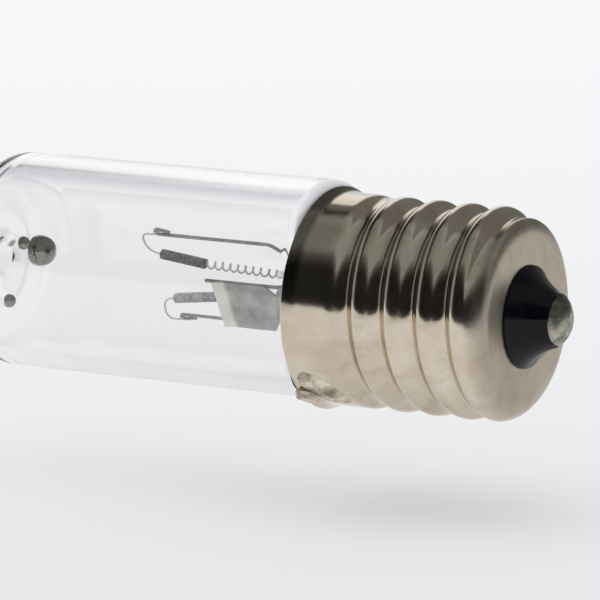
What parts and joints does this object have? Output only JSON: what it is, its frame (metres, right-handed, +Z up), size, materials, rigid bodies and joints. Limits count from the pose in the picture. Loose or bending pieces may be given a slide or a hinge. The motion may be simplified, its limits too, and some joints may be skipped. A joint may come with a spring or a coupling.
{
  "type": "germicidal uv bulb",
  "caption": "Small clear tubular germicidal lamp: flat-ended glass tube with two coiled filaments and mercury beads inside, on a nickel-plated intermediate screw cap.",
  "frame": {"origin": "on the screw cap's axis, in the plane of the cap's open rim", "axes": "+X along the cap's axis towards the end contact, +Z up; the glass reaches out along -X"},
  "size_m": [0.0549, 0.0174, 0.0179],
  "materials": {
    "nickel_shell": "nickel plate, slightly worn",
    "black_glass": "glossy black moulded glass",
    "solder": "dull solder",
    "cement": "matt capping cement",
    "clear_glass": "clear glass",
    "lead_wire": "drawn nickel wire",
    "plate_metal": "dull sheet nickel",
    "tungsten": "wound tungsten strand",
    "emitter_coating": "matt grey coating",
    "mercury": "liquid metal",
    "seal_wire": "coppered seal wire",
    "outer_lead": "copper wire"
  },
  "bodies": {
    "root": {"screw_shell": "nickel_shell", "contact_insulator": "black_glass", "contact_eyelet": "nickel_shell", "contact_solder": "solder", "rim_solder": "solder", "capping_cement": "cement", "glass_tube": "clear_glass", "glass_stem": "clear_glass", "upper_lead": "lead_wire", "lower_lead": "lead_wire", "centre_wire": "lead_wire", "shield_plate": "plate_metal", "upper_filament": "tungsten", "lower_filament": "tungsten", "upper_emitter": "emitter_coating", "lower_emitter": "emitter_coating", "mercury_beads": "mercury", "upper_seal_wire": "seal_wire", "lower_seal_wire": "seal_wire", "contact_lead": "outer_lead", "rim_lead": "outer_lead"}
  },
  "joints": []
}
